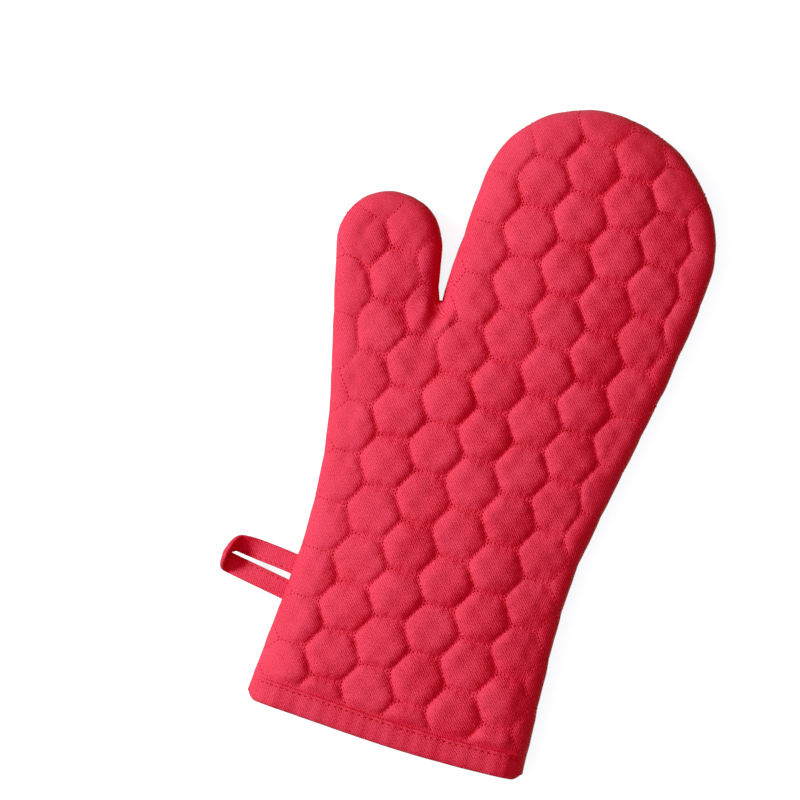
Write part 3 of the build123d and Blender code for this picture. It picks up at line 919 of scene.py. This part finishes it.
ring_place, ring_facing, ring_length = mouth_ring(RING_COUNT)
ring_share = np.arange(RING_COUNT) / RING_COUNT
ripple = sum(height * np.sin(2 * math.pi * count * ring_share + phase) for height, count, phase in RIPPLES)
rippled = np.arange(len(BINDING_PROFILE)) < RIPPLED_POINTS
binding_points = on_binding(ring_place, ring_facing, BINDING_PROFILE[:, 0], CUFF_Y + BINDING_PROFILE[:, 1])
binding_points = binding_points + upright(ring_facing)[:, None] * (ripple[:, None] * rippled)[..., None]
number = np.arange(binding_points[..., 0].size).reshape(RING_COUNT, -1)
binding_faces = ring_quads(np.vstack((number, number[:1])))[:, TURNED_OVER]
binding = new_piece("binding", settle(binding_points).reshape(-1, 3), [binding_faces])
finish_strip(binding, face_twill, ring_share * ring_length, length_along(BINDING_PROFILE))
declare(binding, "hand", "trim_cloth", "cuff_binding")

# %% [markdown]
# A row of machine stitches holds the binding, just below its folded edge, all round the mouth. A bar
# tack of four stitches locks the left seam just above it.

# %% Binding topstitch and bar tack
TOP_STITCH, TOP_STITCH_INSET, TOP_STITCH_DEPTH = Stitch(3.1, 2.2, 0.6), 1.75, 0.92
TACK_STITCH, TACK_WAY = Stitch(1.8, 3.0, 0.7), (0.0, 0.25, 1.0)
TACK_BARS, TACK_START, TACK_SUNK = 4, 1.55, 0.75
stitch_place, stitch_facing, _ = mouth_ring(int(ring_length / TOP_STITCH.pitch))
stitch_y = np.array((HEM_Y - TOP_STITCH_INSET,))
middle = settle(on_binding(stitch_place, stitch_facing, np.array((TOP_STITCH_DEPTH,)), stitch_y)[:, 0])
along = np.roll(middle, -1, axis=0) - np.roll(middle, 1, axis=0)
stitch_piece("topstitch", "binding_topstitch", "hand", middle, along, upright(stitch_facing), TOP_STITCH)

tack_y = HEM_Y + TACK_START + TACK_STITCH.pitch * np.arange(TACK_BARS)
tack_edge, tack_facing, _ = nearest_edge(np.column_stack((np.full(TACK_BARS, -CUFF_HALF_WIDTH), tack_y)))
middle = np.column_stack((tack_edge - tack_facing * TACK_SUNK, np.full(TACK_BARS, SEAM_HEIGHT)))
facing = np.column_stack((tack_facing, np.zeros(TACK_BARS)))
stitch_piece("tack", "seam_tack", "hand", middle, np.tile(TACK_WAY, (TACK_BARS, 1)), facing, TACK_STITCH)

# %% [markdown]
# The hanging loop is a folded tape whose two ends are sewn side by side into the left seam. It leaves
# the seam flat, droops a little, and leans over until it stands nearly on edge at the far turn, where
# its folded outer edge swells. So the tape is a strip with a place for each way along and across it,
# and the thickness follows its normal.

# %% Path of the hanging loop
LOOP_Y, TAPE_WIDTH, TAPE_LEAN = -87.0, 10.2, math.radians(68)
LOOP_ROOT, LOWER_TURN, UPPER_TURN, TURN_DEPTH = -1.5, 33.0, 29.0, 0.62
LOWER_HOLE, UPPER_HOLE, HOLE_TURN, LOOP_SLANT = 0.6, 2.4, 0.8, 0.08
LOOP_DROOP, DROOP_POWER, LOOP_STAND, LEAN_PIVOT = 7.0, 1.25, 4.4, 0.35
LEAN_RISE, LEAN_FALL = (0.88, 1.20), (1.50, 2.45)
edge_way = unit(LEFT_WAIST - CUFF_LEFT)
loop_origin = np.append(CUFF_LEFT + edge_way * (LOOP_Y - CUFF_Y) / edge_way[1], SEAM_HEIGHT)
loop_axes = np.array(((-edge_way[1], edge_way[0], 0), (-edge_way[0], -edge_way[1], 0), (0, 0, 1)))


def lean_share(path):
    """Share of the full lean: none along the arms, rising to all of it in the first part of the turn."""
    return smooth_step(*LEAN_RISE, path) * (1 - smooth_step(*LEAN_FALL, path))


def tape_strip(path, across):
    """Middle surface of the tape: path runs 0 to 1 up one arm, 1 to 2 round the turn, 2 to 3 back."""
    share = np.where(path < 1.5, np.clip(path, 0, 1), np.clip(3 - path, 0, 1))
    round_share = np.clip(path - 1, 0, 1)
    lean = TAPE_LEAN * lean_share(path)
    root = LOWER_HOLE + (UPPER_HOLE - LOWER_HOLE) * round_share
    hole = root + (HOLE_TURN - root) * smooth_step(0, 1, share)
    away = hole + across * np.cos(lean)
    stand = (across - TAPE_WIDTH * LEAN_PIVOT) * np.sin(lean) + LOOP_STAND * lean
    height = stand - LOOP_DROOP * share**DROOP_POWER
    arm_end = LOWER_TURN + (UPPER_TURN - LOWER_TURN) * round_share
    out = LOOP_ROOT + (arm_end - LOOP_ROOT) * share + away * TURN_DEPTH * np.sin(math.pi * round_share)
    local = np.stack((out, away * np.cos(math.pi * round_share) - LOOP_SLANT * out, height), axis=-1)
    return loop_origin + local @ loop_axes


def tape_point(way, side_way, lift):
    """Point of the tape lifted along the strip's own normal, from small steps along and across it."""
    small = 1e-3
    along = tape_strip(way + small, side_way) - tape_strip(way - small, side_way)
    across = tape_strip(way, side_way + small) - tape_strip(way, side_way - small)
    normal = unit(np.cross(along, across))
    return tape_strip(way, side_way) + normal * lift[..., None], normal, along


# %% [markdown]
# The tape's section is flat with round rims, and it is carried along the path. The weave's map goes
# round the rims by their own length. A row of stitches runs along the inner edge.

# %% Hanging loop
TAPE_THICKNESS, TAPE_SWELL, EDGE_BULGE = 1.5, 0.12, 0.8
ARM_STEPS, TURN_STEPS, RIM_STEPS, FLAT_STEPS = 50, 41, 7, 11
EDGE_STITCH, EDGE_STITCH_INSET, EDGE_STITCH_LIFT = Stitch(2.9, 2.0, 0.55), 1.6, 0.12


def tube_piece(name, points):
    """Closed tube from rings of points, one ring in each row, with a flat cap at both ends."""
    number = np.arange(points[..., 0].size).reshape(points.shape[:2])
    caps = np.stack((number[0, ::-1], number[-1]))
    return new_piece(name, points.reshape(-1, 3), [ring_quads(number), caps])


arm_steps = np.linspace(0, 1, ARM_STEPS)
path_step = np.concatenate((arm_steps[:-1], np.linspace(1, 2, TURN_STEPS), 2 + arm_steps[1:]))
half_width, half_thick = TAPE_WIDTH / 2, TAPE_THICKNESS / 2
flat_half = half_width - half_thick
rim = np.radians(np.linspace(-90, 90, RIM_STEPS))
rim_x, rim_z = np.cos(rim) * half_thick, np.sin(rim) * half_thick
rim_reach = flat_half + (math.pi / 2 - np.abs(rim)) * TAPE_THICKNESS
flat_x, flat_z = np.linspace(flat_half, -flat_half, FLAT_STEPS + 2)[1:-1], np.full(FLAT_STEPS, half_thick)
tape_x = np.concatenate((flat_half + rim_x, flat_x, -flat_half - rim_x, -flat_x))
tape_z = np.concatenate((rim_z, flat_z, -rim_z, -flat_z))
tape_z = tape_z * (1 + TAPE_SWELL * np.cos(math.pi * tape_x / TAPE_WIDTH))
tape_reach = np.concatenate((rim_reach, flat_x, -rim_reach, -flat_x))
way, side_way = np.meshgrid(path_step, half_width + tape_x, indexing="ij")
edge_bulge = 1 + EDGE_BULGE * lean_share(way) * smooth_step(0, half_width, tape_x)
tape = tube_piece("loop_tape", tape_point(way, side_way, tape_z * edge_bulge)[0])
path_length = length_along(tape_strip(path_step, np.full(len(path_step), half_width)))
finish_strip(tape, face_twill, path_length, tape_reach)
declare(tape, "loop", "trim_cloth", "hanging_loop")

stitch_count = int(path_length[-1] / EDGE_STITCH.pitch)
stitch_way = np.interp((np.arange(stitch_count) + 0.5) * EDGE_STITCH.pitch, path_length, path_step)
middle, facing, along = tape_point(stitch_way, np.full(stitch_count, EDGE_STITCH_INSET),
                                   np.full(stitch_count, half_thick + EDGE_STITCH_LIFT))
stitch_piece("loop_stitches", "loop_edge_stitch", "loop", middle, along, facing, EDGE_STITCH)

# %% [markdown]
# Inside the mouth the raw edges of both panels lie flat along the seam and are overlocked: thread is
# wrapped round them every few millimetres. Both are profiles carried along the outline. The wrapping
# is a ripple of the profile with the path, which is much lighter than separate loops of thread.

# %% Seam allowance and overlock
ALLOWANCE_START, DIVIDING_INSET, PATH_INSET = 5.7, 6.0, 10.0
FLUTTER, FLUTTER_LENGTH, OVERLOCK_PITCH, OVERLOCK_DIP, WRAPPED_POINTS = 0.25 / 6, 7.0, 2.4, 0.22, 11
SEAM_STEP, ARC_STEP = 0.6, math.radians(3)
# distance from the start of the allowance, and height above the seam
STRIP_PROFILE = np.array(((0.0, -0.9), (0.25, -1.15), (5.4, -1.15), (5.8, -0.8), (5.8, 0.8), (5.4, 1.15),
                          (0.25, 1.15), (0.0, 0.9)))
WRAP_PROFILE = np.array(((1.9, -1.2), (2.4, -1.85), (4.0, -1.9), (5.7, -1.85), (6.4, -1.3), (6.6, 0.0),
                         (6.4, 1.3), (5.7, 1.85), (4.0, 1.9), (2.4, 1.85), (1.9, 1.2), (3.5, 1.25),
                         (5.75, 1.25), (5.95, 0.0), (5.75, -1.25), (3.5, -1.25)))


def outline_samples(step):
    """Points along the whole outline with outward directions, close together on tight arcs."""
    places, facings = [], []
    for run in outline:
        if isinstance(run, Line):
            side = run.end - run.start
            count = max(2, int(np.linalg.norm(side) / step))
            places.append(run.start + (np.arange(count) / count)[:, None] * side)
            facings.append(np.tile(right_of(unit(side)), (count, 1)))
        else:
            count = max(int(abs(run.sweep) / ARC_STEP), int(abs(run.sweep) * run.radius / step), 2)
            direction = ray(run.first + run.sweep * np.arange(count) / count)
            places.append(run.center + run.radius * direction)
            facings.append(np.sign(run.sweep) * direction)
    return np.concatenate(places), np.concatenate(facings)


def seam_sweep(name, place, facing, inset, height):
    """Closed profile carried along the seam: insets from the allowance's start, heights for each place."""
    plan = place[:, None] - facing[:, None] * (ALLOWANCE_START + inset)[:, None]
    return tube_piece(name, np.concatenate((plan, SEAM_HEIGHT + height[..., None]), axis=-1))


edge_place, edge_facing = outline_samples(SEAM_STEP)
in_seam = edge_place[:, 1] > HEM_Y + HEM_CLEAR
edge_place, edge_facing = edge_place[in_seam], edge_facing[in_seam]
edge_thumb = thumb_and_hand(edge_place - edge_facing * DIVIDING_INSET)["thumb"]
thumb_first, thumb_last = np.flatnonzero(edge_thumb)[[0, -1]]
travelled = length_along(edge_place - edge_facing * PATH_INSET)
outer_wrap = np.arange(len(WRAP_PROFILE)) < WRAPPED_POINTS
runs = (("hand", "right", ["seam_overlock"], slice(0, thumb_first)),
        ("thumb", "tip", ["thumb_seam_overlock"], slice(thumb_first - 1, thumb_last + 2)),
        ("hand", "left", [], slice(thumb_last + 1, None)))
for body, part, nodes, chosen in runs:
    place, facing, at = edge_place[chosen], edge_facing[chosen], travelled[chosen]
    flutter = FLUTTER * np.sin(at / FLUTTER_LENGTH)[:, None]
    inset, height = STRIP_PROFILE.T
    strip = seam_sweep(f"{PREFIX[body]}allowance_{part}", place, facing, inset, height + flutter * inset)
    finish_strip(strip, lining_twill, at, inset)
    declare(strip, body, "lining")
    inset, height = WRAP_PROFILE.T
    hollow = 0.5 - 0.5 * np.cos(2 * math.pi * at / OVERLOCK_PITCH)
    height = height * (1 - OVERLOCK_DIP * hollow[:, None] * outer_wrap)
    wrap = seam_sweep(f"{PREFIX[body]}overlock_{part}", place, facing, inset, height + flutter * inset)
    wrap.data.materials.append(thread_finish)
    declare(wrap, body, "thread", *nodes)
